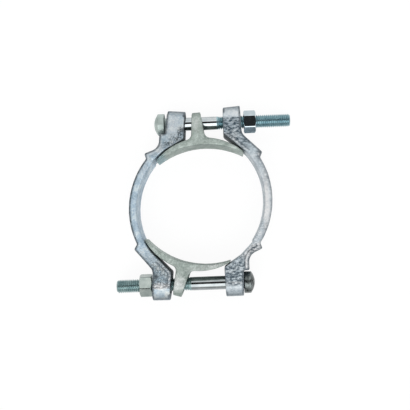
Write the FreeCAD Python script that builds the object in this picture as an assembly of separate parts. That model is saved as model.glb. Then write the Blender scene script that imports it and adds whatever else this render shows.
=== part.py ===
import FreeCAD, Part
import math
import os

# Double bolt hose clamp: two cast halves, two cast saddles, two bolts and two nuts.
# It lies flat. X runs along both bolts, Z along the hose, and the base plane is z = 0.
# The origin is on the hose axis. Lengths are in millimetres and angles in degrees.

# Cast halves, in the frame of one half: its arc is centred on the origin and bulges
# towards +X, with the nut lug at +Y and the head lug at -Y.
CASTING_WIDTH = 27.5
BAND_INNER_RADIUS = 64.5
BAND_THICKNESS = 7.1
NIB_HEIGHT = 4.3
NIB_LEAN = 2.2
NIB_TIP_RADIUS = 1.4
CASTING_CHAMFER = 0.8
CASTING_CORNER_RADIUS = 2.5
LUG_DRAFT = 1.1

# Nut lug and the straight arm that carries it
NUT_NIB_ANGLE = 29.2
NUT_ARM_INNER_START = 38.5
NUT_ARM_OUTER_SLOPE = 45.0
NUT_ARM_INNER_SLOPE = 41.5
NUT_ARM_ROOT_RADIUS = 8.0
NUT_ARM_RUN = 19.7
NUT_LUG_THICKNESS = 16.6
NUT_HOLE_RISE = 11.9
NUT_LUG_REACH = 14.0
NUT_LUG_CROWN_SLOPE = 4.0

# Head lug, its hollowed arm and the shelf that stops the bolt head from turning
HEAD_NIB_ANGLE = 34.4
HEAD_ARM_INNER_START = 36.0
HEAD_ARM_INNER_SLOPE = 45.5
HEAD_ARM_RUN = 11.2
HEAD_ARM_ROOT_SLOPE = 32.5
HEAD_ARM_ROOT_RUN = 15.5
SADDLE_RECESS = 1.2
HEAD_ARM_OUTER_SLOPE = 24.5
HEAD_ARM_HOLLOW_RADIUS = 9.0
HEAD_LUG_THICKNESS = 16.9
HEAD_HOLE_RISE = 14.5
HEAD_LUG_REACH = 12.2
SHELF_DEPTH = 5.2
SHELF_CLEARANCE = 1.6

# Bolts
SHANK_DIAMETER = 12.0
THREAD_DIAMETER = 11.8
THREAD_LENGTH = 66.0
BOLT_PROJECTION = 28.0
BOLT_TIP_CHAMFER = 1.3
HEAD_DIAMETER = 20.0
HEAD_LENGTH = 9.4
HEAD_DOME = 3.0
HEAD_EDGE_CHAMFER = 1.1
HEAD_FLAT = 9.0
BOLT_HOLE_CLEARANCE = 1.25

# Nuts
NUT_ACROSS_FLATS = 18.0
NUT_HEIGHT = 10.8
NUT_CHAMFER_ANGLE = 30.0
NUT_BORE_CHAMFER = 0.8
THREAD_CLEARANCE = 0.05
UPPER_NUT_TURN = 22.0
LOWER_NUT_TURN = 14.0

# Saddles, in the frame of one saddle: its inner face is an arc about the origin and
# its stem points towards +Y.
SADDLE_INNER_RADIUS = 72.0
SADDLE_SPAN_CLEARANCE = 6.4
SADDLE_SINK = 0.1
SADDLE_THICKNESS = 6.7
SADDLE_END_THICKNESS = 1.8
SADDLE_END_BEVEL = 2.4
SADDLE_CHAMFER = 0.6
STEM_PAST_BOLT = 11.3
STEM_TIP_THICKNESS = 7.6
STEM_TAPER = 5.8
STEM_ROOT_RADIUS = 5.0
STEM_REACH = 13.0
SLOT_WIDTH_CLEARANCE = 0.6
SLOT_LENGTH = 16.8

# How the pieces lie at rest
LEFT_HALF_TILT = -5.1
RIGHT_HALF_TILT = 0.4
HALF_OFFSET = 8.3
UPPER_SADDLE_TILT = 3.5
LOWER_SADDLE_TILT = -16.0
UPPER_SADDLE_PLACE = -0.9
LOWER_STEM_OFFSET = 1.5
SEAT_GAP = 0.3
SEAT_PRECISION = 0.001
SEAT_STEPS = 40
UPPER_SADDLE_SLACK = 0.2
UPPER_BOLT_SLACK = 0.9
UPPER_NUT_SLACK = 2.0


def slope(angle):
    return math.tan(math.radians(angle))


def point(x, y, z=0.0):
    return FreeCAD.Vector(x, y, z)


def polar(radius, angle, centre=(0.0, 0.0)):
    turn = math.radians(angle)
    return point(centre[0] + radius * math.cos(turn), centre[1] + radius * math.sin(turn))


# Values that follow from the sizes above
MID = CASTING_WIDTH / 2
BAND_OUTER_RADIUS = BAND_INNER_RADIUS + BAND_THICKNESS
NUT_ARM_START = polar(BAND_INNER_RADIUS, NUT_ARM_INNER_START)
NUT_LUG_CORNER = NUT_ARM_START + point(-NUT_ARM_RUN, NUT_ARM_RUN * slope(NUT_ARM_INNER_SLOPE))
NUT_LUG_CENTRE = NUT_LUG_CORNER.x + NUT_LUG_THICKNESS / 2
NUT_HOLE_HEIGHT = NUT_LUG_CORNER.y + NUT_HOLE_RISE
HEAD_ARM_START = polar(BAND_INNER_RADIUS + SADDLE_RECESS, -HEAD_ARM_INNER_START)
HEAD_ARM_KNEE = HEAD_ARM_START - point(HEAD_ARM_RUN, HEAD_ARM_RUN * slope(HEAD_ARM_INNER_SLOPE))
HEAD_ARM_ROOT_DROP = HEAD_ARM_ROOT_RUN * slope(HEAD_ARM_ROOT_SLOPE)
HEAD_LUG_CORNER = HEAD_ARM_KNEE - point(HEAD_ARM_ROOT_RUN, HEAD_ARM_ROOT_DROP)
HEAD_LUG_CENTRE = HEAD_LUG_CORNER.x + HEAD_LUG_THICKNESS / 2
HEAD_HOLE_HEIGHT = HEAD_HOLE_RISE - HEAD_LUG_CORNER.y
BOLT_HOLE_RADIUS = SHANK_DIAMETER / 2 + BOLT_HOLE_CLEARANCE
LUG_CENTRE_DISTANCE = NUT_LUG_CENTRE + HEAD_LUG_CENTRE - 2 * HALF_OFFSET
BOLT_GRIP = LUG_CENTRE_DISTANCE + (NUT_LUG_THICKNESS + HEAD_LUG_THICKNESS) / 2
BOLT_LENGTH = BOLT_GRIP + NUT_HEIGHT + BOLT_PROJECTION
SADDLE_CHORD = 2 * (NUT_ARM_START.x - HALF_OFFSET) - SADDLE_SPAN_CLEARANCE
SADDLE_HALF_ANGLE = math.degrees(math.asin(SADDLE_CHORD / 2 / SADDLE_INNER_RADIUS))
SADDLE_RISE = SADDLE_INNER_RADIUS - polar(SADDLE_INNER_RADIUS, 90 - SADDLE_HALF_ANGLE).y
LOWER_SADDLE_PLACE = HALF_OFFSET - NUT_LUG_CORNER.x + LOWER_STEM_OFFSET
MEAN_HOLE_HEIGHT = (NUT_HOLE_HEIGHT + HEAD_HOLE_HEIGHT) / 2
SLOT_CENTRE = MEAN_HOLE_HEIGHT - NUT_ARM_START.y - SADDLE_RISE - SADDLE_SINK
STEM_LENGTH = SLOT_CENTRE + STEM_PAST_BOLT
STEM_ROOT = SADDLE_INNER_RADIUS + SADDLE_THICKNESS / 2
STEM_TIP = SADDLE_INNER_RADIUS + STEM_LENGTH
STEM_ROOT_HALF = STEM_TIP_THICKNESS / 2 + (STEM_TIP - STEM_ROOT) * slope(STEM_TAPER)
OUTSIDE = 2 * (BAND_OUTER_RADIUS + BOLT_LENGTH)
X_AXIS = point(1, 0, 0)
Y_AXIS = point(0, 1, 0)
Z_AXIS = point(0, 0, 1)


def rounded_path(corners):
    """Edges through (point, radius) corners, each inner corner rounded by a tangent arc."""
    edges = []
    start = corners[0][0]
    for (before, _), (corner, radius), (after, _) in zip(corners, corners[1:], corners[2:]):
        if radius == 0:
            edges.append(Part.LineSegment(start, corner).toShape())
            start = corner
            continue
        back = (before - corner).normalize()
        ahead = (after - corner).normalize()
        half_angle = back.getAngle(ahead) / 2
        reach = radius / math.tan(half_angle)
        bisector = (back + ahead).normalize()
        centre = corner + bisector * (radius / math.sin(half_angle))
        middle = centre - bisector * radius
        arc_start = corner + back * reach
        arc_end = corner + ahead * reach
        edges.append(Part.LineSegment(start, arc_start).toShape())
        edges.append(Part.Arc(arc_start, middle, arc_end).toShape())
        start = arc_end
    edges.append(Part.LineSegment(start, corners[-1][0]).toShape())
    return edges


def arc_edge(start, middle, end):
    return Part.Arc(start, middle, end).toShape()


def closed_outline(edges):
    return Part.Wire(Part.__sortEdges__(edges))


def rectangle(x_start, x_end, y_start, y_end):
    corners = [(x_start, y_start), (x_end, y_start), (x_end, y_end), (x_start, y_end)]
    return Part.makePolygon([point(x, y) for x, y in corners + corners[:1]])


def prism(outline, height):
    """Solid between z = 0 and the height, over a closed outline in the XY plane."""
    return Part.Face(outline).extrude(Z_AXIS * height)


def ease_rims(solid, size, height):
    """Chamfer the edges of a prism's two end faces."""
    rims = [
        edge
        for edge in solid.Edges
        if abs(edge.BoundBox.ZMax - edge.BoundBox.ZMin) < 1e-6
        and min(abs(edge.BoundBox.ZMin), abs(edge.BoundBox.ZMin - height)) < 1e-6
    ]
    return solid.makeChamfer(size, rims)


def rounded_end(centre_x, height, reach, crown_slope=0.0):
    """Solid as wide as the castings whose round end towards +Y passes the bolt by the reach."""
    radius = (MID * MID + reach * reach) / (2 * reach)
    crown = Part.makeCylinder(radius, OUTSIDE, point(-OUTSIDE / 2, reach - radius, 0), X_AXIS)
    corner = point(-OUTSIDE / 2, -OUTSIDE, -MID)
    tongue = crown.fuse(Part.makeBox(OUTSIDE, OUTSIDE, CASTING_WIDTH, corner))
    tongue.rotate(point(0, 0), Z_AXIS, crown_slope)
    tongue.translate(point(centre_x, height, MID))
    return tongue


def bore(x_start, x_end, height, radius):
    return Part.makeCylinder(radius, x_end - x_start, point(x_start, height, MID), X_AXIS)


def nut_arm_corners():
    """Outer outline of the nut arm and lug, from the band's outside round to its inside."""
    foot = polar(BAND_OUTER_RADIUS, NUT_NIB_ANGLE)
    nib = polar(BAND_OUTER_RADIUS + NIB_HEIGHT, NUT_NIB_ANGLE + NIB_LEAN)
    inner_face = NUT_LUG_CORNER.x
    outer_face = inner_face + NUT_LUG_THICKNESS
    root = point(outer_face, nib.y + (nib.x - outer_face) * slope(NUT_ARM_OUTER_SLOPE))
    top = NUT_HOLE_HEIGHT + 2 * NUT_LUG_REACH
    outer_top = point(outer_face - (top - root.y) * slope(LUG_DRAFT), top)
    inner_top = point(inner_face + (top - NUT_LUG_CORNER.y) * slope(LUG_DRAFT), top)
    return [
        (foot, 0),
        (nib, NIB_TIP_RADIUS),
        (root, NUT_ARM_ROOT_RADIUS),
        (outer_top, 0),
        (inner_top, 0),
        (NUT_LUG_CORNER, CASTING_CORNER_RADIUS),
        (NUT_ARM_START, 0),
    ]


def head_arm_corners():
    """Outline of the head arm and lug, from the band's inside round to its outside."""
    shoulder = polar(BAND_INNER_RADIUS, -HEAD_ARM_INNER_START)
    inner_face = HEAD_LUG_CORNER.x
    outer_face = inner_face + HEAD_LUG_THICKNESS
    shelf = -(HEAD_HOLE_HEIGHT - HEAD_FLAT - SHELF_CLEARANCE)
    bottom = -(HEAD_HOLE_HEIGHT + 2 * HEAD_LUG_REACH)
    inner_bottom = point(inner_face + (HEAD_LUG_CORNER.y - bottom) * slope(LUG_DRAFT), bottom)
    outer_bottom = point(outer_face - (shelf - bottom) * slope(LUG_DRAFT), bottom)
    foot = polar(BAND_OUTER_RADIUS, -HEAD_NIB_ANGLE)
    nib = polar(BAND_OUTER_RADIUS + NIB_HEIGHT, -HEAD_NIB_ANGLE - NIB_LEAN)
    shelf_edge = outer_face + SHELF_DEPTH
    hollow = point(shelf_edge, nib.y - (nib.x - shelf_edge) * slope(HEAD_ARM_OUTER_SLOPE))
    return [
        (shoulder, 0),
        (HEAD_ARM_START, 0),
        (HEAD_ARM_KNEE, CASTING_CORNER_RADIUS),
        (HEAD_LUG_CORNER, CASTING_CORNER_RADIUS),
        (inner_bottom, 0),
        (outer_bottom, 0),
        (point(outer_face, shelf), 0),
        (point(shelf_edge, shelf), CASTING_CORNER_RADIUS / 2),
        (hollow, HEAD_ARM_HOLLOW_RADIUS),
        (nib, NIB_TIP_RADIUS),
        (foot, 0),
    ]


def half_outline():
    """Side view of one half in its own frame, with its lugs longer than they end up."""
    nut_arm = nut_arm_corners()
    head_arm = head_arm_corners()
    edges = rounded_path(nut_arm) + rounded_path(head_arm)
    edges.append(arc_edge(nut_arm[-1][0], polar(BAND_INNER_RADIUS, 0), head_arm[0][0]))
    edges.append(arc_edge(head_arm[-1][0], polar(BAND_OUTER_RADIUS, 0), nut_arm[0][0]))
    return closed_outline(edges)


def clamp_half():
    """One cast half in its own frame."""
    body = ease_rims(prism(half_outline(), CASTING_WIDTH), CASTING_CHAMFER, CASTING_WIDTH)
    nut_end = rounded_end(NUT_LUG_CENTRE, NUT_HOLE_HEIGHT, NUT_LUG_REACH, NUT_LUG_CROWN_SLOPE)
    head_end = rounded_end(-HEAD_LUG_CENTRE, HEAD_HOLE_HEIGHT, HEAD_LUG_REACH)
    head_end.rotate(point(0, 0), Z_AXIS, 180)
    body = body.common(nut_end).common(head_end)
    for height in (NUT_HOLE_HEIGHT, -HEAD_HOLE_HEIGHT):
        body = body.cut(bore(0, BAND_OUTER_RADIUS, height, BOLT_HOLE_RADIUS))
    return body


def plate_outline():
    """Side view of the saddle's curved plate, thickest at its middle, with bevelled ends."""
    end_radius = SADDLE_INNER_RADIUS + SADDLE_END_THICKNESS
    outer_half_angle = SADDLE_HALF_ANGLE - math.degrees(SADDLE_END_BEVEL / end_radius)
    inner_left = polar(SADDLE_INNER_RADIUS, 90 + SADDLE_HALF_ANGLE)
    inner_right = polar(SADDLE_INNER_RADIUS, 90 - SADDLE_HALF_ANGLE)
    outer_left = polar(end_radius, 90 + outer_half_angle)
    outer_right = polar(end_radius, 90 - outer_half_angle)
    return closed_outline(
        [
            arc_edge(inner_left, point(0, SADDLE_INNER_RADIUS), inner_right),
            Part.LineSegment(inner_right, outer_right).toShape(),
            arc_edge(outer_right, point(0, SADDLE_INNER_RADIUS + SADDLE_THICKNESS), outer_left),
            Part.LineSegment(outer_left, inner_left).toShape(),
        ]
    )


def stem_outline():
    """Side view of the saddle's stem, from inside the plate to its tip."""
    return Part.makePolygon(
        [
            point(-STEM_ROOT_HALF, STEM_ROOT),
            point(-STEM_TIP_THICKNESS / 2, STEM_TIP),
            point(STEM_TIP_THICKNESS / 2, STEM_TIP),
            point(STEM_ROOT_HALF, STEM_ROOT),
            point(-STEM_ROOT_HALF, STEM_ROOT),
        ]
    )


def saddle():
    """One cast saddle in its own frame: the curved plate and its slotted stem."""
    plate = prism(plate_outline(), CASTING_WIDTH)
    body = plate.fuse(prism(stem_outline(), CASTING_WIDTH)).removeSplitter().Solids[0]
    roots = [
        edge
        for edge in body.Edges
        if edge.BoundBox.ZLength > CASTING_WIDTH / 2
        and abs(edge.CenterOfMass.x) < 2 * STEM_ROOT_HALF
        and STEM_ROOT < edge.CenterOfMass.y < STEM_TIP - SADDLE_CHAMFER
    ]
    body = body.makeFillet(STEM_ROOT_RADIUS, roots)
    body = ease_rims(body, SADDLE_CHAMFER, CASTING_WIDTH)
    body = body.common(rounded_end(0, STEM_TIP - STEM_REACH, STEM_REACH))
    return body.cut(saddle_slot())


def saddle_slot():
    """Upright slot in the stem that the bolt passes through, long enough for the tilt."""
    radius = SHANK_DIAMETER / 2 + SLOT_WIDTH_CLEARANCE
    centre = SADDLE_INNER_RADIUS + SLOT_CENTRE
    half_run = SLOT_LENGTH / 2 - radius
    low = bore(-STEM_LENGTH, STEM_LENGTH, centre - half_run, radius)
    high = bore(-STEM_LENGTH, STEM_LENGTH, centre + half_run, radius)
    corner = point(-STEM_LENGTH, centre - half_run, MID - radius)
    middle = Part.makeBox(2 * STEM_LENGTH, 2 * half_run, 2 * radius, corner)
    return low.fuse(middle).fuse(high)


def turned(outline):
    """Solid of revolution about the X axis from a closed outline in the upper XY plane."""
    return Part.Face(Part.Wire(outline)).revolve(point(0, 0), X_AXIS, 360)


def bolt_head():
    """Domed head with one flat on its -Y side, below x = 0."""
    radius = HEAD_DIAMETER / 2
    rim = radius - HEAD_EDGE_CHAMFER
    shoulder = HEAD_DOME - HEAD_LENGTH
    dome_radius = (rim * rim + HEAD_DOME * HEAD_DOME) / (2 * HEAD_DOME)
    dome_half_angle = math.degrees(math.asin(rim / dome_radius)) / 2
    dome_centre = (dome_radius - HEAD_LENGTH, 0)
    side = [
        point(-HEAD_LENGTH, 0),
        point(0, 0),
        point(0, radius),
        point(shoulder + HEAD_EDGE_CHAMFER, radius),
        point(shoulder, rim),
    ]
    dome_middle = polar(dome_radius, 180 - dome_half_angle, dome_centre)
    dome = arc_edge(side[-1], dome_middle, side[0])
    head = turned(Part.makePolygon(side).Edges + [dome])
    below = point(-2 * HEAD_LENGTH, -2 * HEAD_DIAMETER, -HEAD_DIAMETER)
    waste = Part.makeBox(
        4 * HEAD_LENGTH, 2 * HEAD_DIAMETER - HEAD_FLAT, 2 * HEAD_DIAMETER, below
    )
    return head.cut(waste)


def bolt():
    """One bolt along +X with its head's underside at x = 0. The thread is a plain cylinder."""
    shank_end = BOLT_LENGTH - THREAD_LENGTH
    shank = SHANK_DIAMETER / 2
    thread = THREAD_DIAMETER / 2
    corners = [
        point(0, 0),
        point(0, shank),
        point(shank_end, shank),
        point(shank_end + shank - thread, thread),
        point(BOLT_LENGTH - BOLT_TIP_CHAMFER, thread),
        point(BOLT_LENGTH, thread - BOLT_TIP_CHAMFER),
        point(BOLT_LENGTH, 0),
        point(0, 0),
    ]
    rod = turned(Part.makePolygon(corners))
    return bolt_head().fuse(rod)


def nut():
    """One chamfered hexagon nut that ends at x = 0 with its seat, a corner towards +Z."""
    corner_radius = NUT_ACROSS_FLATS / math.sqrt(3)
    corners = [polar(corner_radius, 60 * count) for count in range(7)]
    hexagon = Part.Face(Part.makePolygon(corners)).extrude(Z_AXIS * NUT_HEIGHT)
    hexagon.rotate(point(0, 0), Y_AXIS, -90)
    chamfer = (corner_radius - NUT_ACROSS_FLATS / 2) * slope(NUT_CHAMFER_ANGLE)
    envelope = turned(
        Part.makePolygon(
            [
                point(0, 0),
                point(0, NUT_ACROSS_FLATS / 2),
                point(-chamfer, corner_radius),
                point(chamfer - NUT_HEIGHT, corner_radius),
                point(-NUT_HEIGHT, NUT_ACROSS_FLATS / 2),
                point(-NUT_HEIGHT, 0),
                point(0, 0),
            ]
        )
    )
    inside = THREAD_DIAMETER / 2 + THREAD_CLEARANCE
    mouth = inside + NUT_BORE_CHAMFER
    opening = turned(
        Part.makePolygon(
            [
                point(0, 0),
                point(0, mouth),
                point(-NUT_BORE_CHAMFER, inside),
                point(NUT_BORE_CHAMFER - NUT_HEIGHT, inside),
                point(-NUT_HEIGHT, mouth),
                point(-NUT_HEIGHT, 0),
                point(0, 0),
            ]
        )
    )
    return hexagon.common(envelope).cut(opening)


def turn_about(vector, angle):
    return FreeCAD.Rotation(Z_AXIS, angle).multVec(vector)


def half_place(tilt, side):
    """Turn and shift of one half: side is 1 on the right and -1 on the left."""
    angle = tilt if side > 0 else 180 + tilt
    nut_hole = turn_about(point(NUT_LUG_CENTRE, NUT_HOLE_HEIGHT), angle)
    head_hole = turn_about(point(HEAD_LUG_CENTRE, -HEAD_HOLE_HEIGHT), angle)
    drop = -(nut_hole.y + head_hole.y) / 2
    spacing = abs(nut_hole.y - head_hole.y)
    return angle, point(-side * HALF_OFFSET, drop), spacing


def placed(shape, angle, shift):
    result = shape.copy()
    result.rotate(point(0, 0), Z_AXIS, angle)
    result.translate(shift)
    return result


def seat_run(outline, direction, obstacles, gap):
    """How far an outline moves along a direction until it is one gap from the obstacles."""
    moving = outline.copy()
    run = 0.0
    for _ in range(SEAT_STEPS):
        free = moving.distToShape(obstacles)[0] - gap
        if free < SEAT_PRECISION:
            break
        moving.translate(direction * free)
        run += free
    return run


left_angle, left_shift, left_spacing = half_place(LEFT_HALF_TILT, -1)
right_angle, right_shift, right_spacing = half_place(RIGHT_HALF_TILT, 1)
BOLT_HEIGHT = (left_spacing + right_spacing) / 4
left_outline = placed(half_outline(), left_angle, left_shift)
right_outline = placed(half_outline(), right_angle, right_shift)


def seated_saddle(tilt, side, place, slack):
    """A saddle between the arms: side is 1 above the hose and -1 below it."""
    angle = tilt if side > 0 else 180 + tilt
    slot = turn_about(point(0, SADDLE_INNER_RADIUS + SLOT_CENTRE), angle)
    inward = BOLT_HEIGHT - 2 * SADDLE_RISE
    shift = point(place - slot.x, side * inward - slot.y)
    outline = placed(plate_outline(), angle, shift)
    halves = Part.Compound([left_outline, right_outline])
    run = seat_run(outline, Y_AXIS * side, halves, SEAT_GAP) - slack
    return placed(saddle(), angle, shift + Y_AXIS * (side * run))


def seated_bolt(side, lug_outline, slack):
    """A bolt through a head lug: side is 1 for the upper bolt, whose head is at the left."""
    angle = 0 if side > 0 else 180
    shift = point(-side * OUTSIDE / 4, side * BOLT_HEIGHT)
    head = placed(rectangle(-HEAD_LENGTH, 0, -HEAD_FLAT, HEAD_DIAMETER / 2), angle, shift)
    run = seat_run(head, X_AXIS * side, lug_outline, SEAT_GAP) - slack
    return placed(bolt(), angle, shift + point(side * run, 0, MID))


def seated_nut(side, lug_outline, turn, slack):
    """A nut outside a nut lug: side is 1 for the upper nut, which is at the right."""
    angle = 180 if side > 0 else 0
    shift = point(side * OUTSIDE / 4, side * BOLT_HEIGHT)
    face = rectangle(-NUT_HEIGHT, 0, -NUT_ACROSS_FLATS / 2, NUT_ACROSS_FLATS / 2)
    run = seat_run(placed(face, angle, shift), X_AXIS * -side, lug_outline, SEAT_GAP) - slack
    shape = nut()
    shape.rotate(point(0, 0), X_AXIS, turn)
    return placed(shape, angle, shift + point(-side * run, 0, MID))


pieces = {
    "clamp_half_left": placed(clamp_half(), left_angle, left_shift),
    "clamp_half_right": placed(clamp_half(), right_angle, right_shift),
    "saddle_upper": seated_saddle(
        UPPER_SADDLE_TILT, 1, UPPER_SADDLE_PLACE, UPPER_SADDLE_SLACK
    ),
    "saddle_lower": seated_saddle(LOWER_SADDLE_TILT, -1, LOWER_SADDLE_PLACE, 0),
    "bolt_upper": seated_bolt(1, left_outline, UPPER_BOLT_SLACK),
    "bolt_lower": seated_bolt(-1, right_outline, 0),
    "nut_upper": seated_nut(1, right_outline, UPPER_NUT_TURN, UPPER_NUT_SLACK),
    "nut_lower": seated_nut(-1, left_outline, LOWER_NUT_TURN, 0),
}
os.makedirs("parts", exist_ok=True)
for name, piece in pieces.items():
    piece.exportStep(f"parts/{name}.step")
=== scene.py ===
import bpy
import math
import numpy as np
from mathutils import Matrix, Vector, noise
from mathutils.kdtree import KDTree


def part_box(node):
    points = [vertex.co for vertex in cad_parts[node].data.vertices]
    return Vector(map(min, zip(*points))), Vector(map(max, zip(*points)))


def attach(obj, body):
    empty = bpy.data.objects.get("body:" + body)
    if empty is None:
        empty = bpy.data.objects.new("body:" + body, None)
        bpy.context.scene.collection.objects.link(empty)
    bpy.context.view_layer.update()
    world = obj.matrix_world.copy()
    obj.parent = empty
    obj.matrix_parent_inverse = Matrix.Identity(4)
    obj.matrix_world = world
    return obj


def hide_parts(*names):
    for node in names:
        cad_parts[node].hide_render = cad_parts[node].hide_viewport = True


# Dresses the double bolt hose clamp: rough cast halves and saddles, threaded bolts and nuts.
# X runs along the bolts, Y from bolt to bolt and Z up. The origin is on the hose's axis.
# Lengths are in metres and angles in degrees, and a height is a distance along Y from the axis.
# A spot is a place, its radii along X and Y and its strength, with place and radii in millimetres.

MM = 0.001

# Castings: size of the faces, and rounds of smoothing that soften the edges
HALF_VOXEL = 0.62 * MM
SADDLE_VOXEL = 0.5 * MM
HALF_SOFTENING = 5
SADDLE_SOFTENING = 4
SOFTENING_FACTOR = 0.5

# Relief of the castings, pushed inwards from the CAD surface
WAVE_SIZE = 9 * MM
WAVE_DEPTH = 0.14 * MM
GRAIN_SIZE = 1.6 * MM
GRAIN_DEPTH = 0.13 * MM
GRIT_SIZE = 2.6 * MM
GRIT_DEPTH = 0.42 * MM
STRIP_STEP = 0.35 * MM
# Layers of noise that make up the relief: their number, and how they fade and get finer
NOISE_LAYERS = 3
NOISE_FADE = 0.9
NOISE_FINER = 2.1
# How far each seed moves the noise along X, Y and Z
SEED_SHIFT = (17.3, 5.1, 9.7)

# A wall's normal points up or down by less than the first share. A side face's points that way
# by more than the second, and the face counts in full where it does so by the fade more.
WALL_FACING = 0.3
FACE_FACING = 0.6
FACE_FADE = 0.3
# Walls this near to the bolts' axes are those of their holes, and don't count
BOLT_HEIGHT = 71.7 * MM
BOLT_MIDDLE = 13.75 * MM
BORE_REACH = 8 * MM
# How abruptly a spot ends
SPOT_SHARPNESS = 2

# Grit begins on the arms, and stops before the rounded ends of the lugs
GRIT_START = 44 * MM
GRIT_FULL = 54 * MM
GRIT_END = 74.5 * MM
GRIT_EDGE = 1 * MM
# How gritty each arm and lug is, by the signs of its X and Y
GRIT_SHARES = {(-1, 1): 0.1, (1, 1): 1.0, (-1, -1): 0.75, (1, -1): 0.95}
SADDLE_UPPER_GRIT = 0.2
SADDLE_LOWER_GRIT = 0.4
# Pitted spots
PITS = [
    ((-15.5, 61.5), (3, 6), 1.1),
    ((-19, 56.5), (4, 3), 1.0),
    ((-26, 52.5), (6, 2.5), 1.0),
    ((-30, -66), (2.5, 9), 0.7),
    ((38, 48), (4, 4), 1.0),
    ((-22.5, 57.5), (4.5, 4), 0.75),
    ((-31, 50.5), (5, 2.5), 0.45),
    ((46, -43.5), (7, 4.5), 1.0),
    ((34, -48.6), (3, 4), 1.2),
    ((38.2, -61.5), (1.5, 1.5), 1.3),
    ((54, 40), (4, 5), 1.0),
    ((60, 26), (4, 14), 0.35),
    ((58, -30), (5, 12), 0.45),
]

# The head arms keep a smooth raised strip along their outside, with a painted highlight on it and
# painted shade in a groove beside it.
# It lies between two heights, and further out along X than its foot.
STRIP_START = 38 * MM
STRIP_END = 59.5 * MM
STRIP_FOOT = 33 * MM
STRIP_WIDTH = 3.4 * MM
STRIP_FADE = 0.7 * MM
STRIP_GRIT = 0.15
STRIP_HIGHLIGHT = {(-1, 1): 0.35, (1, -1): 1.0}
GROOVE_REACH = 1.0 * MM
GROOVE_SHARES = {(-1, 1): 0.3, (1, -1): 1.0}

# The nut arms have a groove painted with shade and a rim painted with a highlight along their inside,
# between two heights.
# They are listed by the signs of their X and Y.
NUT_ARMS = {(1, 1): (44 * MM, 60 * MM), (-1, -1): (50 * MM, 73 * MM)}
INNER_GROOVE_DEPTH = 3.0 * MM
INNER_GROOVE_REACH = 0.9 * MM
HIGHLIGHT_RIM_DEPTH = 1.3 * MM
HIGHLIGHT_RIM_REACH = 1.1 * MM

# Painted shade: the walls and rounded edges are painted darker than the faces, the less they face up
# or down
SIDE_FACING = 0.93
SIDE_FADE = 0.35
OUTSIDE_SHARE = 0.5
# Spots where the outside walls get less painted shade
LESS_SHADED_WALLS = [((44, 58), (14, 12), 0.85)]
# Walls that face the hose get little painted shade along the bands and much along the arms
BAND_END = 40 * MM
ARM_START = 58 * MM
BAND_INSIDE_SHARE = 0.1
ARM_INSIDE_SHARE = 0.9

# Painted shade: a dark line runs along the outer edges. Its shares are for the bands and for the arms.
EDGE_FACING = 0.3
EDGE_WIDTH = 1.1 * MM
EDGE_FADE = 1.1 * MM
LEFT_EDGES = (1.0, 0.9)
RIGHT_EDGES = (0.4, 0.9)
SADDLE_UPPER_EDGES = (0.15, 0.15)
SADDLE_LOWER_EDGES = (0.1, 0.1)

# The arms' own tint and their painted edge shade begin and are full at these heights
ARM_LOOK_START = 36 * MM
ARM_LOOK_FULL = 46 * MM
# The upper saddle is tinted darker and bluer at its left end
SADDLE_TINTS = [((-36, 39), (7, 6), 1.0)]

# Painted highlights: bright spots painted on the plating
PAINTED_HIGHLIGHTS = [
    ((57.5, -8), (3.2, 32), 1.0),
    ((53.8, 40.1), (1.8, 4), 0.9),
    ((50.4, -40.5), (2.2, 4), 0.9),
    ((27, -71.8), (9, 1.4), 0.8),
    ((-38, -72), (8, 2.8), 1.5),
    ((-34.5, 50), (2.2, 8), 0.5),
    ((-22, 69), (6.5, 13), 0.45),
    ((-28.3, -65), (1.0, 8), 0.9),
    ((32, 79), (10, 5), 0.6),
    ((27, -79), (9, 6), 0.35),
    ((-22.5, -72), (7, 8.5), 0.75),
    ((-2, 71), (4, 9), 0.35),
    ((2, -60), (15, 4), 0.35),
    ((8, -56), (11, 3), 0.5),
    ((-49, 31), (6, 9), 0.3),
    ((43, -46), (8, 8), 1.2),
]

# Cast zinc. Colours are 0 to 255 and tints are factors, and the wall colour is painted shade. Blotches
# are stretched along one line.
CAST_ZINCS = {
    "left half zinc": {
        "dark": (152, 175, 191), "middle": (185, 205, 220), "light": (223, 233, 236),
        "tint": (1.0, 0.955, 0.91), "pit": (62, 74, 81), "wall": (68, 77, 83),
        "blotch": 1.2 * MM, "stretch": 1.0,
    },
    "right half zinc": {
        "dark": (166, 178, 186), "middle": (199, 208, 214), "light": (229, 233, 235),
        "tint": (0.96, 0.99, 1.0), "pit": (66, 82, 93), "wall": (80, 89, 96),
        "blotch": 1.6 * MM, "stretch": 2.2,
    },
    "saddle zinc": {
        "dark": (145, 158, 151), "middle": (175, 187, 181), "light": (208, 218, 213),
        "tint": (0.675, 0.84, 0.97), "pit": (92, 101, 97), "wall": (101, 114, 108),
        "blotch": 2.0 * MM, "stretch": 1.0,
    },
}
# The colour of the painted highlights
HIGHLIGHT_COLOUR = (234, 234, 234)
CAST_METALLIC = 0.6
CAST_ROUGHNESS = 0.6
CLOUD_SIZE = 9 * MM
CLOUD_STOPS = (0.34, 0.52, 0.68)
SPECKLE_SIZE = 1.6 * MM
PATCH_SIZE = 2.2 * MM
UNEVEN_SIZE = 3 * MM
SHEEN_SIZE = 2.5 * MM
STREAK_TURN = -25
# Effects of the noises: the lowest and highest noise that counts, and the effect at each
DARK_SPECKLES = (0.30, 0.50, 0.55, 0.0)
LIGHT_SPECKLES = (0.50, 0.70, 0.0, 0.8)
BLOTCHES = (0.42, 0.60, 1.0, 0.05)
PATCHES = (0.35, 0.60, 0.35, 1.0)
UNEVEN_SHADE_LINES = (0.35, 0.6, 0.6, 1.0)
CAST_SHEEN = (0.3, 0.7, 0.5, 0.68)
# Bumps too small for the mesh: size, depth and strength
FINE_BUMPS = (0.6 * MM, 0.06 * MM, 0.6)
COARSE_BUMPS = (1.8 * MM, 0.30 * MM, 0.7)

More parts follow.
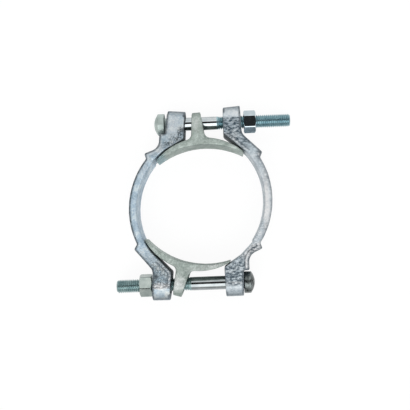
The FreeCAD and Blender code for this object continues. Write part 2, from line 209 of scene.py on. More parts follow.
# Bright zinc: dark and light colour, roughness, and size of the grain and of the clouds
BRIGHT_ZINCS = {
    "bolt head zinc": ((162, 175, 171), (197, 208, 205), 0.55, 0.9 * MM, 6 * MM),
    # The lower head's near-black patches are painted reflections
    "lower head zinc, painted reflections": ((10, 13, 13), (138, 146, 145), 0.28, 1.5 * MM, 3 * MM),
    "bolt shank zinc": ((166, 175, 177), (190, 195, 197), 0.09, 0.6 * MM, 6 * MM),
    "lower thread zinc": ((134, 160, 162), (164, 184, 184), 0.32, 0.3 * MM, 6 * MM),
    "bolt thread zinc": ((129, 162, 171), (158, 186, 192), 0.32, 0.3 * MM, 6 * MM),
    # The lower shank is painted darker than the upper one, as painted shade
    "lower shank zinc, painted shade": ((143, 150, 152), (166, 171, 172), 0.10, 0.6 * MM, 6 * MM),
    "nut zinc": ((175, 189, 195), (197, 208, 214), 0.05, 1.2 * MM, 6 * MM),
    # The lower nut is painted darker than the upper one, as painted shade
    "lower nut zinc, painted shade": ((147, 158, 155), (175, 184, 179), 0.2, 1.2 * MM, 6 * MM),
}
BRIGHT_METALLIC = 1.0
BRIGHT_STOPS = (0.32, 0.68)
# The roughness varies between two shares of itself, over the middle values of a noise
BRIGHT_SHEEN_SIZE = 1.5 * MM
BRIGHT_SHEEN_NOISE = (0.3, 0.7)
BRIGHT_SHEEN = (0.8, 1.25)
BRIGHT_BUMP_DEPTH = 0.04 * MM
BRIGHT_BUMP_STRENGTH = 0.35

# Bolts. The head has a domed crown, a rounded edge and one flat, at a distance from the axis.
HEAD_RADIUS = 10 * MM
HEAD_LENGTH = 9.4 * MM
HEAD_DOME = 3.0 * MM
HEAD_EDGE = 1.1 * MM
HEAD_FLAT = 9 * MM
SHANK_RADIUS = 6 * MM
THREAD_RADIUS = 5.9 * MM
THREAD_LENGTH = 66 * MM
THREAD_PITCH = 1.75 * MM
THREAD_DEPTH = 0.61 * THREAD_PITCH
# Half of the thread's flat crest and root, as shares of the pitch
HALF_CREST = 1 / 16
HALF_ROOT = 1 / 8
RUN_OUT = 2 * THREAD_PITCH
TIP_CHAMFER = 1.3 * MM
# Points round a bolt, and its rings: distance along the shank, number in one turn of the thread,
# and angle round the head's edge
BOLT_SEGMENTS = 64
SHANK_STEP = 3 * MM
THREAD_STEPS = 12
EDGE_STEP = 15
# Rings across the dome and the tip, as shares of the radius
DOME_SHARES = (0.02, 0.1, 0.2, 0.3, 0.4, 0.5, 0.6, 0.7, 0.8, 0.88, 0.94, 0.98)
TIP_SHARES = (1.0, 0.97, 0.6, 0.1)
# Rings of the head's side and back, and of the neck: shares of the head's length and the radius
HEAD_SHARES = ((0.55, 1), (0.75, 1), (0.93, 1), (0.975, 0.992), (1, 0.97), (1, 0.85), (1, 0.72))
NECK_SHARES = ((1, 1.06), (1.04, 1))

# Nuts
NUT_FLATS = 18 * MM
NUT_CORNER_SHARE = 0.985
NUT_CHAMFER_ANGLE = 30
NUT_COUNTERSINK = 0.32 * MM
NUT_SEGMENTS = 144
NUT_EDGE_SOFTENING = 0.08 * MM
NUT_SHARP_ANGLE = 25
NUT_THREAD_CLEARANCE = 0.12 * MM
# How far each nut is turned on its bolt
UPPER_NUT_TURN = 22
LOWER_NUT_TURN = 14
# Rings of the outside from each end, as shares of the height, and of the end faces
NUT_ROWS = (0, 0.004, 0.012, 0.025, 0.04, 0.06, 0.08, 0.11, 0.16, 0.3)
NUT_FACE_SHARES = (0.9, 0.8)

# Floor: half its width, its place below the object, its shade, and how much and how bright it glows
FLOOR_REACH = 3.0
FLOOR_SINK = 0.02 * MM
FLOOR_SHADE = 0.9
FLOOR_GLOW = 0.9
GLOW_LEVEL = 1.03

# Studio light by direction: the angle from overhead towards +Y, and the brightness there.
# A long softbox lies on the -Y side of the camera and a dark ceiling on its +Y side.
SOFTBOX = 2.4
DARK_CEILING = 0.036
SKY_STOPS = [
    (-90, 0.48),
    (-66, 0.66),
    (-50, SOFTBOX),
    (-13, SOFTBOX),
    (-8, DARK_CEILING),
    (21, DARK_CEILING),
    (26, 1.50),
    (50, 1.08),
    (90, 1.32),
]
# The light turns to one dim level towards +X and -X
SIDE_START = 0.35
SIDE_END = 0.85
SIDE_LIGHT = 0.42

# Camera, found from the photograph: its size, focal length and optical axis are in pixels
PHOTO_SIZE = 410
SENSOR = 36
CAMERA_PLACE = Vector((21.58, -36.40, 562.17)) * MM
# The turn's axis, as long as its angle
CAMERA_TURN = Vector((-3.74, -0.37, 2.22))
CAMERA_CLIP_START = 10 * MM
FOCAL_PIXELS = 612.59
AXIS_PIXEL = (222.03, 202.58)


def colour(levels):
    """A colour written in the usual 0 to 255, as linear values."""
    def linear(level):
        share = level / 255
        return share / 12.92 if share <= 0.04045 else ((share + 0.055) / 1.055) ** 2.4
    return tuple(linear(level) for level in levels) + (1.0,)


def grey(level):
    """A grey from 0 to 1 that is already linear."""
    return (level, level, level, 1)


class Nodes:
    """Short calls that add nodes to a material or the world. Any input may be a plain value."""

    def __init__(self, tree):
        self.tree = tree

    def add(self, kind):
        return self.tree.nodes.new("ShaderNode" + kind)

    def put(self, value, socket):
        """Link another node's output to a socket, or set the socket's own value."""
        if isinstance(value, bpy.types.NodeSocket):
            self.tree.links.new(value, socket)
        else:
            socket.default_value = value

    def ramp(self, source, stops):
        """Colours by value, through stops of (value, colour)."""
        node = self.add("ValToRGB")
        points = node.color_ramp.elements
        while len(points) < len(stops):
            points.new(0.5)
        for point, (place, shade) in zip(points, stops):
            point.position = place
            point.color = shade
        self.put(source, node.inputs["Fac"])
        return node.outputs["Color"]

    def between(self, source, low, high, low_out=0.0, high_out=1.0):
        """A value that goes from low_out to high_out while the source goes from low to high."""
        node = self.add("MapRange")
        limits = {"From Min": low, "From Max": high, "To Min": low_out, "To Max": high_out}
        for name, value in limits.items():
            node.inputs[name].default_value = value
        self.put(source, node.inputs["Value"])
        return node.outputs["Result"]

    def mix(self, factor, first, second, blend="MIX"):
        """A mix of two colours, which are inputs 6 and 7 of the node."""
        node = self.add("Mix")
        node.data_type = "RGBA"
        node.blend_type = blend
        self.put(factor, node.inputs[0])
        self.put(first, node.inputs[6])
        self.put(second, node.inputs[7])
        return node.outputs[2]

    def compute(self, operation, *values):
        """The result of a sum, product or other operation on values."""
        node = self.add("Math")
        node.operation = operation
        for value, socket in zip(values, node.inputs):
            self.put(value, socket)
        return node.outputs[0]

    def mix_shaders(self, share, first, second, output):
        """Send a mix of two shaders to the output node."""
        node = self.add("MixShader")
        self.put(share, node.inputs["Fac"])
        self.put(first, node.inputs[1])
        self.put(second, node.inputs[2])
        self.put(node.outputs[0], output.inputs["Surface"])


class Material(Nodes):
    """A material with one Principled shader."""

    def __init__(self, name, metallic, roughness):
        self.material = bpy.data.materials.new(name)
        self.material.use_nodes = True
        super().__init__(self.material.node_tree)
        self.shader = self.tree.nodes["Principled BSDF"]
        self.set("Metallic", metallic)
        self.set("Roughness", roughness)
        self.place = self.add("TexCoord").outputs["Object"]

    def set(self, name, value):
        self.put(value, self.shader.inputs[name])

    def noise(self, size, detail=4, roughness=0.6, place=None):
        """Noise with clouds or grains of about the given size."""
        node = self.add("TexNoise")
        node.inputs["Scale"].default_value = 1 / size
        node.inputs["Detail"].default_value = detail
        node.inputs["Roughness"].default_value = roughness
        self.put(place or self.place, node.inputs["Vector"])
        return node.outputs["Fac"]

    def streaked(self, turn, stretch):
        """Object place squeezed along one direction of the XY plane, for streaky noise."""
        node = self.add("Mapping")
        node.inputs["Rotation"].default_value = (0, 0, math.radians(turn))
        node.inputs["Scale"].default_value = (1 / stretch, 1, 1)
        self.put(self.place, node.inputs["Vector"])
        return node.outputs["Vector"]

    def attribute(self, name):
        """A value kept at each vertex of the mesh."""
        node = self.add("Attribute")
        node.attribute_name = name
        return node.outputs["Fac"]

    def bump(self, source, depth, strength, under=None):
        """Normals bent by a noise, on top of other bent normals."""
        node = self.add("Bump")
        node.inputs["Distance"].default_value = depth
        node.inputs["Strength"].default_value = strength
        self.put(source, node.inputs["Height"])
        if under is not None:
            self.put(under, node.inputs["Normal"])
        return node.outputs["Normal"]


def cast_zinc(name, dark, middle, light, tint, pit, wall, blotch, stretch):
    """Zinc-plated rough casting: cloudy tints, fine grain and dark blotches, with a painted highlight
    on bright spots and painted shade on walls, edges and grooves.
    """
    made = Material(name, CAST_METALLIC, CAST_ROUGHNESS)
    shades = [colour(levels) for levels in (dark, middle, light)]
    clouds = made.ramp(made.noise(CLOUD_SIZE), list(zip(CLOUD_STOPS, shades)))
    speckle = made.noise(SPECKLE_SIZE, detail=3, roughness=0.75)
    darker = made.mix(made.between(speckle, *DARK_SPECKLES), clouds, colour(dark))
    speckled = made.mix(made.between(speckle, *LIGHT_SPECKLES), darker, colour(light))
    tinted = made.mix(made.attribute("tint"), speckled, tint + (1.0,), "MULTIPLY")
    # Painted highlight: the highlight colour is mixed in, in patches, on the strips, rims and bright
    # spots
    patches = made.between(made.noise(PATCH_SIZE), *PATCHES)
    painted_highlight = made.compute("MULTIPLY", patches, made.attribute("painted_highlight"))
    bright = made.mix(painted_highlight, tinted, colour(HIGHLIGHT_COLOUR))
    streaks = made.noise(blotch, roughness=0.65, place=made.streaked(STREAK_TURN, stretch))
    blotches = made.between(streaks, *BLOTCHES)
    grit = made.compute("MULTIPLY", blotches, made.attribute("grit"))
    gritty = made.mix(grit, bright, colour(pit))
    # Painted shade: the wall colour is mixed in on the walls, and then along the edges and grooves
    wall_shaded = made.mix(made.attribute("wall"), gritty, colour(wall))
    uneven = made.between(made.noise(UNEVEN_SIZE, detail=3), *UNEVEN_SHADE_LINES)
    line = made.compute("MULTIPLY", uneven, made.attribute("line"))
    made.set("Base Color", made.mix(line, wall_shaded, colour(wall)))
    made.set("Roughness", made.between(made.noise(SHEEN_SIZE), *CAST_SHEEN))
    fine_size, fine_depth, fine_strength = FINE_BUMPS
    fine = made.bump(made.noise(fine_size, detail=3), fine_depth, fine_strength)
    size, depth, strength = COARSE_BUMPS
    made.set("Normal", made.bump(made.noise(size), depth, strength, fine))
    return made.material


def bright_zinc(name, dark, light, roughness, grain, cloud):
    """Bright zinc plating with faint cloudiness and a fine grain."""
    made = Material(name, BRIGHT_METALLIC, roughness)
    shades = [colour(dark), colour(light)]
    made.set("Base Color", made.ramp(made.noise(cloud), list(zip(BRIGHT_STOPS, shades))))
    limits = [share * roughness for share in BRIGHT_SHEEN]
    made.set("Roughness", made.between(made.noise(BRIGHT_SHEEN_SIZE), *BRIGHT_SHEEN_NOISE, *limits))
    grains = made.noise(grain, detail=3)
    made.set("Normal", made.bump(grains, BRIGHT_BUMP_DEPTH, BRIGHT_BUMP_STRENGTH))
    return made.material


def stand_in(mesh, node, body):
    """Put a mesh in place of a CAD node, on the node's body."""
    piece = bpy.data.objects.new("dressed_" + node, mesh)
    bpy.context.scene.collection.objects.link(piece)
    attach(piece, body)
    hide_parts(node)


def remeshed(source, voxel, softening):
    """A copy of a CAD object's mesh with even small faces and slightly softened edges."""
    copy = bpy.data.objects.new("copy", source.data.copy())
    bpy.context.scene.collection.objects.link(copy)
    remesh = copy.modifiers.new("even faces", "REMESH")
    remesh.mode = "VOXEL"
    remesh.voxel_size = voxel
    remesh.use_smooth_shade = True
    soften = copy.modifiers.new("soft edges", "SMOOTH")
    soften.factor = SOFTENING_FACTOR
    soften.iterations = softening
    shape = copy.evaluated_get(bpy.context.evaluated_depsgraph_get())
    mesh = bpy.data.meshes.new_from_object(shape)
    bpy.data.objects.remove(copy)
    return mesh


def vectors(source, name):
    """The vectors of a mesh's points, as the rows of an array."""
    values = np.empty(len(source) * 3)
    source.foreach_get(name, values)
    return values.reshape(-1, 3)


def noise_field(points, size, seed):
    """Turbulence at each point, from about 0 to 1."""
    offset = Vector([seed * shift for shift in SEED_SHIFT])
    values = [
        0.5 + 0.5 * noise.fractal(Vector(point) / size + offset, NOISE_FADE, NOISE_FINER, NOISE_LAYERS)
        for point in points
    ]
    return np.clip(np.array(values), 0.0, 1.0)


def rise(values, start, reach):
    """0 up to the start, then rising evenly to 1 over the reach."""
    return np.clip((values - start) / reach, 0, 1)


def ridge(values, middle, reach):
    """1 where the value is at the middle, falling to 0 at the reach on both sides."""
    return 1 - rise(np.abs(values - middle), 0, reach)


def spots(points, places):
    """Each listed spot's strength in its middle, falling off smoothly around it."""
    mask = np.zeros(len(points))
    for (x, y), (reach_x, reach_y), strength in places:
        across = (points[:, 0] - x * MM) / (reach_x * MM)
        along = (points[:, 1] - y * MM) / (reach_y * MM)
        mask = np.maximum(mask, strength * np.exp(-(across ** 2 + along ** 2) ** SPOT_SHARPNESS))
    return mask


def corner_values(points, values):
    """A value for each point by the signs of its X and Y, and 0 where none is given."""
    result = np.zeros(len(points))
    for (side, end), value in values.items():
        result[(points[:, 0] * side > 0) & (points[:, 1] * end > 0)] = value
    return result


def outwardness(points, normals):
    """Above 0 where the surface faces away from the hose, and below 0 where it faces it."""
    return np.sum(normals[:, :2] * points[:, :2], axis=1)


def wall_distance(points, normals, side, wall_end=math.inf):
    """Distance in the XY plane of each point from the walls up to a height.

    The side is 1 for the walls that face away from the hose and -1 for those that face it.
    """
    from_bolt = np.hypot(np.abs(points[:, 1]) - BOLT_HEIGHT, points[:, 2] - BOLT_MIDDLE)
    is_wall = (np.abs(normals[:, 2]) < WALL_FACING) & (from_bolt > BORE_REACH)
    is_wall &= (np.abs(points[:, 1]) < wall_end) & (side * outwardness(points, normals) > 0)
    wall = np.flatnonzero(is_wall)
    tree = KDTree(len(wall))
    for index in wall:
        tree.insert((points[index, 0], points[index, 1], 0), index)
    tree.balance()
    return np.array([tree.find((x, y, 0))[2] for x, y in points[:, :2]])


def arm_mask(points, start, full):
    """0 along the bands, rising to 1 on the arms and lugs."""
    return rise(np.abs(points[:, 1]), start, full - start)


def arm_look(points):
    """Where the tint and the painted edge shade are those of the arms."""
    return arm_mask(points, ARM_LOOK_START, ARM_LOOK_FULL)


def saddle_tint(points):
    """Where the upper saddle is tinted. No spot lies on the lower one."""
    return spots(points, SADDLE_TINTS)


def up_mask(normals):
    """1 on the side faces and 0 on the walls."""
    return rise(np.abs(normals[:, 2]), FACE_FACING, FACE_FADE)


def face_mask(points, normals):
    """1 on the side faces up to the rounded ends of the lugs, and 0 elsewhere."""
    return rise(GRIT_END - np.abs(points[:, 1]), 0, GRIT_EDGE) * up_mask(normals)


def strip_masks(points, normals):
    """1 on the smooth strips of the head arms, in the grooves that get painted shade, and on the rims
    that get a painted highlight.
    """
    x = points[:, 0]
    y = points[:, 1]
    on_head_arm = (x * y < 0) & (np.abs(x) > STRIP_FOOT)
    on_head_arm &= (np.abs(y) > STRIP_START) & (np.abs(y) < STRIP_END)
    from_outside = wall_distance(points, normals, 1, STRIP_END)
    strip = (1 - rise(from_outside, STRIP_WIDTH, STRIP_FADE)) * on_head_arm
    groove = ridge(from_outside, STRIP_WIDTH + STRIP_FADE, GROOVE_REACH) * on_head_arm
    groove *= corner_values(points, GROOVE_SHARES)
    from_inside = wall_distance(points, normals, -1)
    rim = np.zeros(len(points))
    for (side, end), (low, high) in NUT_ARMS.items():
        on_nut_arm = (x * side > 0) & (y * end > low) & (y * end < high)
        inner_groove = ridge(from_inside, INNER_GROOVE_DEPTH, INNER_GROOVE_REACH) * on_nut_arm
        groove = np.maximum(groove, inner_groove)
        rim = np.maximum(rim, ridge(from_inside, HIGHLIGHT_RIM_DEPTH, HIGHLIGHT_RIM_REACH) * on_nut_arm)
    return strip, groove, rim


def grit_mask(points, face, arm, strip):
    """How gritty the surface is: 0 where it is smooth, and about 1 where it is roughest."""
    mask = arm * corner_values(points, GRIT_SHARES) * (1 - (1 - STRIP_GRIT) * strip)
    return np.maximum(mask, spots(points, PITS)) * face


def painted_highlight_mask(points, normals, strip, rim):
    """Painted highlight: how brightly the plating is painted on the strips and rims, and in the
    highlight spots.
    """
    mask = np.maximum(strip * corner_values(points, STRIP_HIGHLIGHT), rim)
    return np.maximum(mask, spots(points, PAINTED_HIGHLIGHTS)) * up_mask(normals)


def wall_shade_mask(points, normals):
    """Painted shade: how much darker the walls and rounded edges are painted than the faces."""
    height = np.abs(points[:, 1])
    inside_share = np.interp(height, (BAND_END, ARM_START), (BAND_INSIDE_SHARE, ARM_INSIDE_SHARE))
    outside_share = OUTSIDE_SHARE * (1 - spots(points, LESS_SHADED_WALLS))
    share = np.where(outwardness(points, normals) < 0, inside_share, outside_share)
    return rise(SIDE_FACING - np.abs(normals[:, 2]), 0, SIDE_FADE) * share


def edge_shade_mask(points, normals, band_share, arm_share):
    """Painted shade: the dark line along the outer edges."""
    line = 1 - rise(wall_distance(points, normals, 1), EDGE_WIDTH, EDGE_FADE)
    line *= rise(np.abs(normals[:, 2]), EDGE_FACING, EDGE_FACING)
    return line * (band_share + (arm_share - band_share) * arm_look(points))


def relief(points, face, arm, strip, grit, seed, has_strips):
    """How deep each point of a casting is pushed in."""
    depth = WAVE_DEPTH * noise_field(points, WAVE_SIZE, seed)
    depth += GRAIN_DEPTH * noise_field(points, GRAIN_SIZE, seed + 1)
    depth += GRIT_DEPTH * grit * noise_field(points, GRIT_SIZE, seed + 2)
    if has_strips:
        on_head_arms = points[:, 0] * points[:, 1] < 0
        depth += STRIP_STEP * face * arm * (1 - strip) * on_head_arms
    return depth


def roughen(mesh, seed, edges, tint_mask, grit_share, has_strips):
    """Give a casting its relief, and keep the masks that its material needs."""
    points = vectors(mesh.vertices, "co")
    normals = vectors(mesh.vertex_normals, "vector")
    face = face_mask(points, normals)
    arm = arm_mask(points, GRIT_START, GRIT_FULL)
    none = np.zeros(len(points))
    strip, groove, rim = strip_masks(points, normals) if has_strips else (none, none, none)
    grit = grit_mask(points, face, arm, strip) * grit_share
    depth = relief(points, face, arm, strip, grit, seed, has_strips)
    moved = points - normals * depth[:, None]
    mesh.vertices.foreach_set("co", moved.ravel())
    wall = wall_shade_mask(moved, normals)
    # The masks carry the painted highlight, and the painted shade on the walls and along the edges and
    # grooves
    masks = {
        "grit": grit,
        "painted_highlight": painted_highlight_mask(moved, normals, strip, rim) * (1 - wall),
        "wall": wall,
        "line": np.maximum(edge_shade_mask(moved, normals, *edges), groove),
        "tint": tint_mask(points),
    }
    for name, values in masks.items():
        layer = mesh.attributes.new(name, "FLOAT", "POINT")
        layer.data.foreach_set("value", values)
    mesh.update()


def half(node, body, metal, edges, seed):
    """One cast half, with its strips, grooves and grit."""
    mesh = remeshed(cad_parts[node], HALF_VOXEL, HALF_SOFTENING)
    roughen(mesh, seed, edges, arm_look, grit_share=1, has_strips=True)
    finish_casting(mesh, node, body, metal)


def saddle(node, body, metal, edges, grit_share, seed):
    """One cast saddle, smoother than the halves."""
    mesh = remeshed(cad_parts[node], SADDLE_VOXEL, SADDLE_SOFTENING)
    roughen(mesh, seed, edges, saddle_tint, grit_share, has_strips=False)
    finish_casting(mesh, node, body, metal)


def finish_casting(mesh, node, body, metal):
    """Give a casting its one material and its place in the assembly."""
    mesh.materials.clear()
    mesh.materials.append(metal)
    stand_in(mesh, node, body)


def ring_mesh(name, rings, closed):
    """Mesh from rings of points. The last ring meets the first when closed, or the ends are filled."""
    size = len(rings[0])
    points = [point for ring in rings for point in ring]
    faces = []
    pairs = len(rings) if closed else len(rings) - 1
    for row in range(pairs):
        near = row * size
        far = (row + 1) % len(rings) * size
        for step in range(size):
            after = (step + 1) % size
            faces.append((near + step, near + after, far + after, far + step))
    if not closed:
        faces.append(tuple(reversed(range(size))))
        faces.append(tuple(range(len(points) - size, len(points))))
    mesh = bpy.data.meshes.new(name)
    mesh.from_pydata(points, [], faces)
    mesh.update()
    return mesh


def eased(share):
    """A share kept between 0 and 1, which starts and ends softly."""
    share = min(max(share, 0.0), 1.0)
    return share * share * (3 - 2 * share)


def soft_minimum(first, second, softness):
    """The lesser of two values, with a rounded change from one to the other."""
    blend = max(softness - abs(first - second), 0) / softness
    return min(first, second) - blend * blend * softness / 4


def thread_radius(along, turn, crest, depth):
    """Radius of a right-hand thread with flat crests and roots, at a place and a turn in radians."""
    phase = (along / THREAD_PITCH - turn / (2 * math.pi)) % 1.0
    from_crest = min(phase, 1 - phase)
    share = min(max((from_crest - HALF_CREST) / (1 / 2 - HALF_CREST - HALF_ROOT), 0.0), 1.0)
    return crest - depth * share


def circle_turns(segments):
    """Evenly spread turns in radians, once round."""
    return [2 * math.pi * step / segments for step in range(segments)]


def circle(along, radius):
    """A ring of (along, across, up) points round a bolt's axis."""
    turns = circle_turns(BOLT_SEGMENTS)
    return [(along, radius * math.cos(turn), radius * math.sin(turn)) for turn in turns]


def head_profile():
    """Places and radii of the bolt's head and neck."""
    rim = HEAD_RADIUS - HEAD_EDGE
    dome_radius = (rim * rim + HEAD_DOME * HEAD_DOME) / (2 * HEAD_DOME)
    profile = []
    for share in DOME_SHARES:
        radius = rim * share
        profile.append((dome_radius - math.sqrt(dome_radius ** 2 - radius ** 2), radius))
    for turn in range(0, 90 + EDGE_STEP, EDGE_STEP):
        swing = math.radians(turn)
        along = HEAD_DOME + HEAD_EDGE * (1 - math.cos(swing))
        profile.append((along, rim + HEAD_EDGE * math.sin(swing)))
    profile += [(HEAD_LENGTH * length, HEAD_RADIUS * radius) for length, radius in HEAD_SHARES]
    profile += [(HEAD_LENGTH * length, SHANK_RADIUS * radius) for length, radius in NECK_SHARES]
    return profile


def head_rings():
    """The head, cut off by its one flat, and the neck."""
    return [
        [(place, max(across, -HEAD_FLAT), up) for place, across, up in circle(along, radius)]
        for along, radius in head_profile()
    ]


def shank_rings(thread_start):
    """The plain shank between the head and the thread."""
    length = thread_start - HEAD_LENGTH
    steps = math.ceil(length / SHANK_STEP)
    return [circle(HEAD_LENGTH + length * step / steps, SHANK_RADIUS) for step in range(1, steps)]


def thread_rings(thread_start, length):
    """The thread, which deepens over its run-out, up to the chamfered tip."""
    rings = []
    along = thread_start
    while along < length:
        depth = THREAD_DEPTH * eased((along - thread_start) / RUN_OUT)
        limit = THREAD_RADIUS - TIP_CHAMFER + (length - along)
        ring = []
        for turn in circle_turns(BOLT_SEGMENTS):
            radius = min(thread_radius(along, turn, THREAD_RADIUS, depth), limit)
            ring.append((along, radius * math.cos(turn), radius * math.sin(turn)))
        rings.append(ring)
        along += THREAD_PITCH / THREAD_STEPS
    tip = THREAD_RADIUS - TIP_CHAMFER
    return rings + [circle(length, tip * share) for share in TIP_SHARES]


def bolt(node, body, metals, side):
    """One bolt with its thread: side is 1 for the upper bolt, whose head is at -X.

    The metals are the head's, shank's and thread's. Returns where the bolt's crown and axis are.
    """
    low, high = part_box(node)
    length = high.x - low.x
    crown = low.x if side > 0 else high.x
    axis_height = high.y - HEAD_RADIUS if side > 0 else low.y + HEAD_RADIUS
    middle = (low.z + high.z) / 2
    thread_start = length - THREAD_LENGTH
    head = head_rings()
    shank = shank_rings(thread_start)
    rings = head + shank + thread_rings(thread_start, length)
    placed = [
        [(crown + side * s, axis_height + side * across, middle + up) for s, across, up in ring]
        for ring in rings
    ]
    mesh = ring_mesh(node, placed, closed=False)
    for metal in metals:
        mesh.materials.append(metal)
    for face in mesh.polygons:
        row = face.index // BOLT_SEGMENTS
        face.material_index = 0 if row < len(head) else 1 if row < len(head) + len(shank) else 2
        face.use_smooth = True
    crown_face, tip_face = mesh.polygons[-2], mesh.polygons[-1]
    crown_face.material_index = 0
    tip_face.material_index = 1
    stand_in(mesh, node, body)
    return crown, axis_height, middle


def hexagon_radius(angle):
    """Distance from a nut's axis to its outside, with blunt corners at whole sixths of a turn."""
    side_wall = NUT_FLATS / 2 / math.cos(math.radians(angle % 60 - 30))
    corner = NUT_FLATS / math.sqrt(3) * NUT_CORNER_SHARE
    return soft_minimum(side_wall, corner, NUT_EDGE_SOFTENING)


def nut(node, body, metal, turned, screw, side):
    """One hexagon nut with chamfered corners, and a bore that fits its bolt's thread.

    The screw is the place that its bolt returned, and the side is the bolt's.
    """
    low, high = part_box(node)
    crown, axis_height, middle = screw
    height = high.x - low.x
    first = math.radians(-side * turned)
    turns = [first + turn for turn in circle_turns(NUT_SEGMENTS)]

    def placed(along, radii):
        """A ring of the nut. The turns run from +Z, as the hexagon's do."""
        return [
            (low.x + along, axis_height - radius * math.sin(turn), middle + radius * math.cos(turn))
            for turn, radius in zip(turns, radii)
        ]

    def outside(along):
        """Radii of the hexagon, cut down by the chamfers at both ends."""
        slope = 1 / math.tan(math.radians(NUT_CHAMFER_ANGLE))
        cone = NUT_FLATS / 2 + min(along, height - along) * slope
        corners = [hexagon_radius(math.degrees(turn) + side * turned) for turn in turns]
        return [soft_minimum(radius, cone, NUT_EDGE_SOFTENING) for radius in corners]

    def bore(along):
        """Radii of the thread, which keeps the phase of the bolt's, with countersunk ends."""
        mouth = THREAD_RADIUS + NUT_THREAD_CLEARANCE
        countersink = mouth + NUT_COUNTERSINK - min(along, height - along)
        from_crown = side * (low.x + along - crown)
        radii = []
        for turn in turns:
            screw_turn = math.atan2(math.cos(turn), -side * math.sin(turn))
            thread = thread_radius(from_crown, screw_turn, mouth, THREAD_DEPTH)
            radii.append(max(thread, countersink))
        return radii

    def face(along, share):
        """A ring of an end face, between the outside and the bore."""
        return placed(along, [NUT_FLATS / 2 * share] * NUT_SEGMENTS)

    rows = [share * height for share in NUT_ROWS]
    rows += [height - row for row in reversed(rows)]
    rings = [placed(along, outside(along)) for along in rows]
    rings += [face(height, share) for share in NUT_FACE_SHARES]
    steps = math.ceil(height / (THREAD_PITCH / THREAD_STEPS))
    for step in range(steps, -1, -1):
        along = height * step / steps
        rings.append(placed(along, bore(along)))
    rings += [face(0, share) for share in reversed(NUT_FACE_SHARES)]
    mesh = ring_mesh(node, rings, closed=True)
    mesh.materials.append(metal)
    mesh.polygons.foreach_set("use_smooth", [True] * len(mesh.polygons))
    mesh.set_sharp_from_angle(angle=math.radians(NUT_SHARP_ANGLE))
    stand_in(mesh, node, body)


def camera():
    """The camera in the photograph's place, shifted so that its axis meets the same pixel."""
    data = bpy.data.cameras.new("camera")
    data.sensor_width = SENSOR
    data.lens = FOCAL_PIXELS * SENSOR / PHOTO_SIZE
    data.shift_x = (PHOTO_SIZE / 2 - AXIS_PIXEL[0]) / PHOTO_SIZE
    data.shift_y = (AXIS_PIXEL[1] - PHOTO_SIZE / 2) / PHOTO_SIZE
    data.clip_start = CAMERA_CLIP_START
    seen = bpy.data.objects.new("camera", data)
    bpy.context.scene.collection.objects.link(seen)
    turn = Matrix.Rotation(math.radians(CAMERA_TURN.length), 3, CAMERA_TURN.normalized())
    seen.rotation_mode = "QUATERNION"
    seen.rotation_quaternion = turn.transposed().to_quaternion()
    seen.location = CAMERA_PLACE
    bpy.context.scene.camera = seen


def white_floor():
    """Material of the floor: it glows for the camera and in mirrors, and lights nothing else."""
    material = bpy.data.materials.new("white floor")
    material.use_nodes = True
    nodes = Nodes(material.node_tree)
    nodes.tree.nodes.clear()
    matt = nodes.add("BsdfDiffuse")
    matt.inputs["Color"].default_value = grey(FLOOR_SHADE)
    glow = nodes.add("Emission")
    glow.inputs["Color"].default_value = grey(1)
    glow.inputs["Strength"].default_value = GLOW_LEVEL
    rays = nodes.add("LightPath").outputs
    seen = rays["Is Camera Ray"]
    for kind in ("Is Glossy Ray", "Is Transmission Ray"):
        seen = nodes.compute("MAXIMUM", seen, rays[kind])
    share = nodes.compute("MULTIPLY", seen, FLOOR_GLOW)
    nodes.mix_shaders(share, matt.outputs[0], glow.outputs[0], nodes.add("OutputMaterial"))
    return material


def floor():
    """A large white floor that keeps a faint shadow."""
    mesh = bpy.data.meshes.new("floor")
    corners = [(x * FLOOR_REACH, y * FLOOR_REACH, 0) for x, y in ((-1, -1), (1, -1), (1, 1), (-1, 1))]
    mesh.from_pydata(corners, [], [(0, 1, 2, 3)])
    mesh.materials.append(white_floor())
    made = bpy.data.objects.new("floor", mesh)
    made.location.z = -FLOOR_SINK
    bpy.context.scene.collection.objects.link(made)


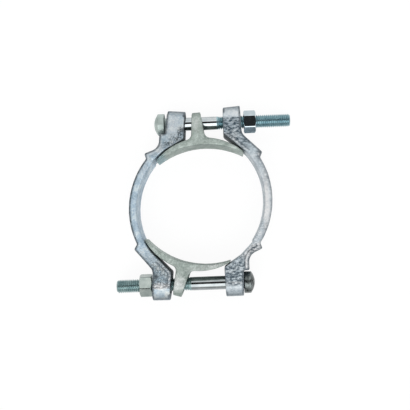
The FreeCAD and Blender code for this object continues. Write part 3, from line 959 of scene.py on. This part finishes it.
def studio():
    """World light: the sky stops for the object, and plain white for the camera."""
    world = bpy.data.worlds.new("studio")
    bpy.context.scene.world = world
    world.use_nodes = True
    nodes = Nodes(world.node_tree)
    nodes.tree.nodes.clear()
    direction = nodes.add("SeparateXYZ")
    nodes.put(nodes.add("TexCoord").outputs["Generated"], direction.inputs[0])
    x, y, z = direction.outputs
    angle = nodes.between(nodes.compute("ARCTAN2", y, z), -math.pi / 2, math.pi / 2)
    stops = [((degrees + 90) / 180, grey(level / SOFTBOX)) for degrees, level in SKY_STOPS]
    sideways = nodes.between(nodes.compute("ABSOLUTE", x), SIDE_START, SIDE_END)
    sky = nodes.add("Background")
    sky.inputs["Strength"].default_value = SOFTBOX
    light = nodes.mix(sideways, nodes.ramp(angle, stops), grey(SIDE_LIGHT / SOFTBOX))
    nodes.put(light, sky.inputs["Color"])
    white = nodes.add("Background")
    white.inputs["Color"].default_value = grey(1)
    seen = nodes.add("LightPath").outputs["Is Camera Ray"]
    nodes.mix_shaders(seen, sky.outputs[0], white.outputs[0], nodes.add("OutputWorld"))


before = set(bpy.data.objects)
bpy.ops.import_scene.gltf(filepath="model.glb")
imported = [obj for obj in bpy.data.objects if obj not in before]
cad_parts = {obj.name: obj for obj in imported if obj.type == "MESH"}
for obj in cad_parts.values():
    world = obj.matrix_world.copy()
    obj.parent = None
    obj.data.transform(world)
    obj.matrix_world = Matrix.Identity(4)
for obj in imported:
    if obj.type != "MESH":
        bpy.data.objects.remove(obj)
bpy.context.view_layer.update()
bpy.context.scene.view_settings.view_transform = "Standard"

cast = {name: cast_zinc(name, **look) for name, look in CAST_ZINCS.items()}
bright = {name: bright_zinc(name, *look) for name, look in BRIGHT_ZINCS.items()}
upper_metals = [bright[name] for name in ("bolt head zinc", "bolt shank zinc", "bolt thread zinc")]
lower_metals = [bright[name] for name in ("lower head zinc, painted reflections", "lower shank zinc, painted shade", "lower thread zinc")]

saddle_metal = cast["saddle zinc"]

half("clamp_half_left", "left", cast["left half zinc"], LEFT_EDGES, seed=1)
half("clamp_half_right", "right", cast["right half zinc"], RIGHT_EDGES, seed=5)
saddle("saddle_upper", "upper_saddle", saddle_metal, SADDLE_UPPER_EDGES, SADDLE_UPPER_GRIT, seed=9)
saddle("saddle_lower", "lower_saddle", saddle_metal, SADDLE_LOWER_EDGES, SADDLE_LOWER_GRIT, seed=13)
upper_screw = bolt("bolt_upper", "left", upper_metals, side=1)
lower_screw = bolt("bolt_lower", "right", lower_metals, side=-1)
nut("nut_upper", "upper_nut", bright["nut zinc"], UPPER_NUT_TURN, upper_screw, side=1)
nut("nut_lower", "lower_nut", bright["lower nut zinc, painted shade"], LOWER_NUT_TURN, lower_screw, side=-1)

floor()
studio()
camera()
